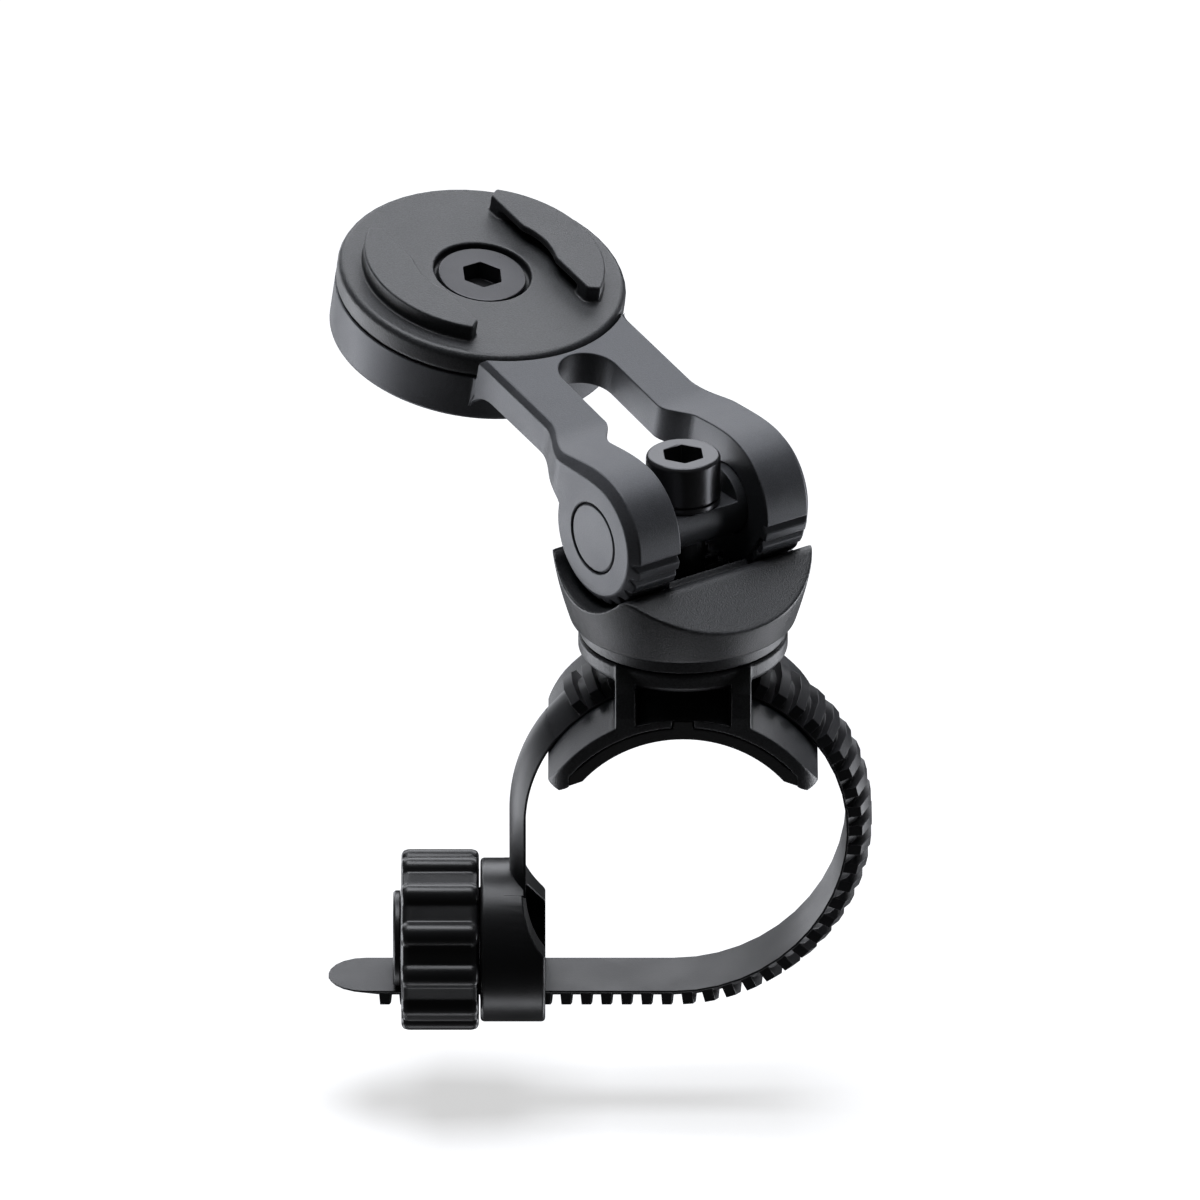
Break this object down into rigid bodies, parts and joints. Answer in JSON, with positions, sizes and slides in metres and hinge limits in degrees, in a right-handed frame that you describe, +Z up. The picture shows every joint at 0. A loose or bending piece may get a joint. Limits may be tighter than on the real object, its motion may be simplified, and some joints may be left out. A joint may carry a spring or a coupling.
{
  "type": "handlebar phone mount",
  "caption": "Phone mount for a bicycle handlebar: toothed strap with screw tensioner, saddle, swivel cup, tilting forked arm and round twist-lock plate.",
  "frame": {"origin": "crest of the saddle pad at half its depth, where the top of the handlebar touches", "axes": "+Z up through the swivel axis, +Y along the handlebar, +X along the strap's straight run towards its loop"},
  "size_m": [0.0728, 0.0756, 0.0984],
  "materials": {
    "moulded_plastic": "fine speckled grain, glass-filled",
    "strap_plastic": "satin, flexible",
    "satin_plastic": "satin to glossy",
    "pad_rubber": "matte, soft",
    "dark_anodised": "bead-blasted, dark anodised",
    "black_steel": "black oxide, satin"
  },
  "bodies": {
    "saddle_body": {"saddle_base": "moulded_plastic", "rubber_pad": "pad_rubber", "base_nut": "black_steel", "friction_ring": "moulded_plastic", "strap": "strap_plastic", "strap_lead": "strap_plastic"},
    "swivel_body": {"swivel_cup": "moulded_plastic", "clamp_pin": "dark_anodised", "clamp_bolt": "black_steel", "bolt_washer": "black_steel"},
    "arm_body": {"arm": "dark_anodised", "plate_screw": "black_steel"},
    "plate_body": {"phone_plate": "moulded_plastic"},
    "tensioner_body": {"strap_housing": "satin_plastic", "knob_retainer": "satin_plastic"},
    "knob_body": {"tension_knob": "satin_plastic"}
  },
  "joints": [
    {"name": "swivel_turn", "type": "hinge", "parent": "saddle_body", "child": "swivel_body", "pos_m": [0, 0, 0.011], "axis": [0, 0, 1], "continuous": true},
    {"name": "arm_tilt", "type": "hinge", "parent": "swivel_body", "child": "arm_body", "pos_m": [0, 0, 0.027], "axis": [0.8161, 0.5779, 0], "range_deg": [-40, 120]},
    {"name": "plate_turn", "type": "hinge", "parent": "arm_body", "child": "plate_body", "pos_m": [-0.02764, 0.03904, 0.03761], "axis": [0.1251, -0.1766, 0.9763], "range_deg": [-90, 90]},
    {"name": "tension_slide", "type": "slide", "parent": "saddle_body", "child": "tensioner_body", "axis": [1, 0, 0], "range_m": [-0.0055, 0.0082], "deforming": ["strap_lead"]},
    {"name": "knob_turn", "type": "hinge", "parent": "tensioner_body", "child": "knob_body", "pos_m": [-0.0325, 0, -0.0369], "axis": [1, 0, 0], "range_deg": [-720, 1080]}
  ],
  "couplings": [
    {"joint": "tension_slide", "follows": "knob_turn", "m_per_rad": 0.00042972}
  ]
}
